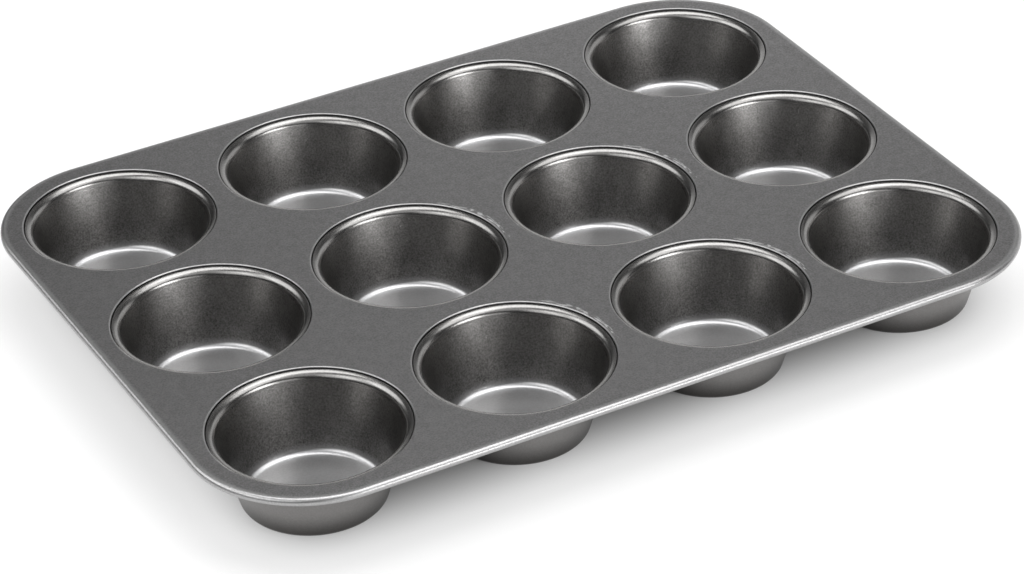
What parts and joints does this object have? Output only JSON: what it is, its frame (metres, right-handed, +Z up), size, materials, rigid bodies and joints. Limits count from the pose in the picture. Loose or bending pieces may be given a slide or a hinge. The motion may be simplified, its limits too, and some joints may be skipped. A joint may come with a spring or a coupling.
{
  "type": "muffin pan",
  "caption": "Shallow rectangular baking pan whose round tapered cups are seamed into a pierced top sheet with a rolled rim, for baking muffins and cupcakes.",
  "frame": {"origin": "under the middle of the pan, on the surface that the cups stand on", "axes": "+X along the long side towards the right, +Y along the short side towards the back, +Z up out of the cups"},
  "size_m": [0.35, 0.265, 0.031],
  "materials": {
    "coating": "satin dark grey non-stick coating on sheet steel, finely speckled",
    "wire": "plain drawn steel wire, hidden in the rolled rim"
  },
  "bodies": {
    "root": {"top_sheet": "coating", "rim_wire": "wire", "cup_row1_col1": "coating", "cup_row1_col2": "coating", "cup_row1_col3": "coating", "cup_row1_col4": "coating", "cup_row2_col1": "coating", "cup_row2_col2": "coating", "cup_row2_col3": "coating", "cup_row2_col4": "coating", "cup_row3_col1": "coating", "cup_row3_col2": "coating", "cup_row3_col3": "coating", "cup_row3_col4": "coating"}
  },
  "joints": []
}
